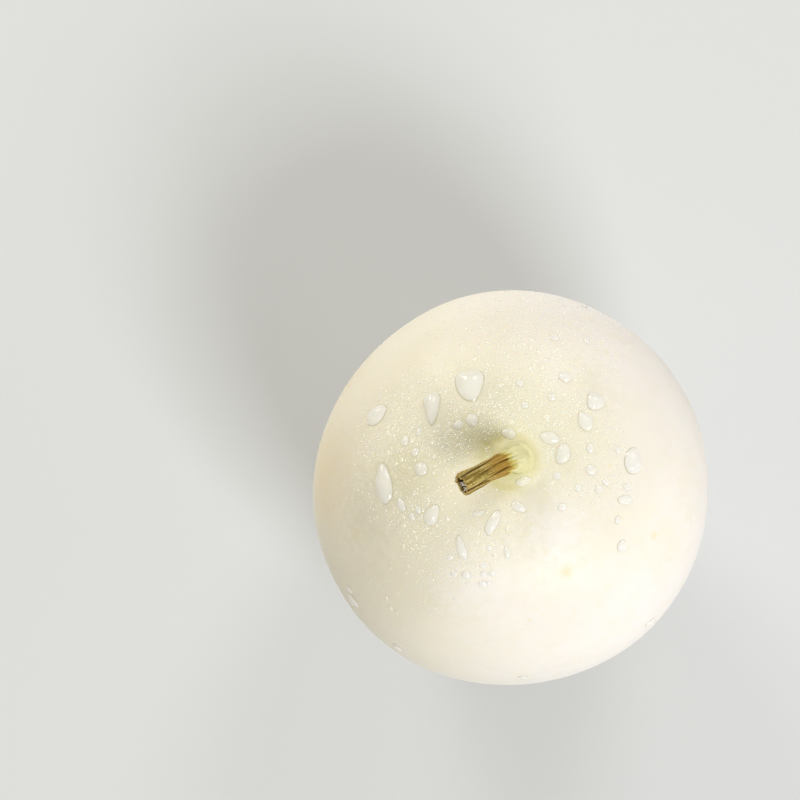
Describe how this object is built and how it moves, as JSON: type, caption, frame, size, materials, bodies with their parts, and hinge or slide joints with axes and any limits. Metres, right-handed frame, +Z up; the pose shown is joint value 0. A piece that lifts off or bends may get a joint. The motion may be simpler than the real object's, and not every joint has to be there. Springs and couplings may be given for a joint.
{
  "type": "muskmelon",
  "caption": "Whole white-skinned muskmelon with a short bent dry stem, standing upright on its blossom end.",
  "frame": {"origin": "on the surface that the melon stands on, under the middle of the fruit's outline seen from above, in the flat resting spot of its blossom end", "axes": "+Z up along the fruit, from the blossom end to the stem; +X to the right of the picture and +Y to its top, so the stem points to -X and -Y"},
  "size_m": [0.116, 0.1158, 0.135],
  "materials": {
    "melon_skin": "smooth waxy cream-white skin, yellow-green round the stem",
    "dry_stem": "dry ridged olive-brown stem, dull"
  },
  "bodies": {
    "root": {"fruit": "melon_skin", "stem": "dry_stem"}
  },
  "joints": []
}
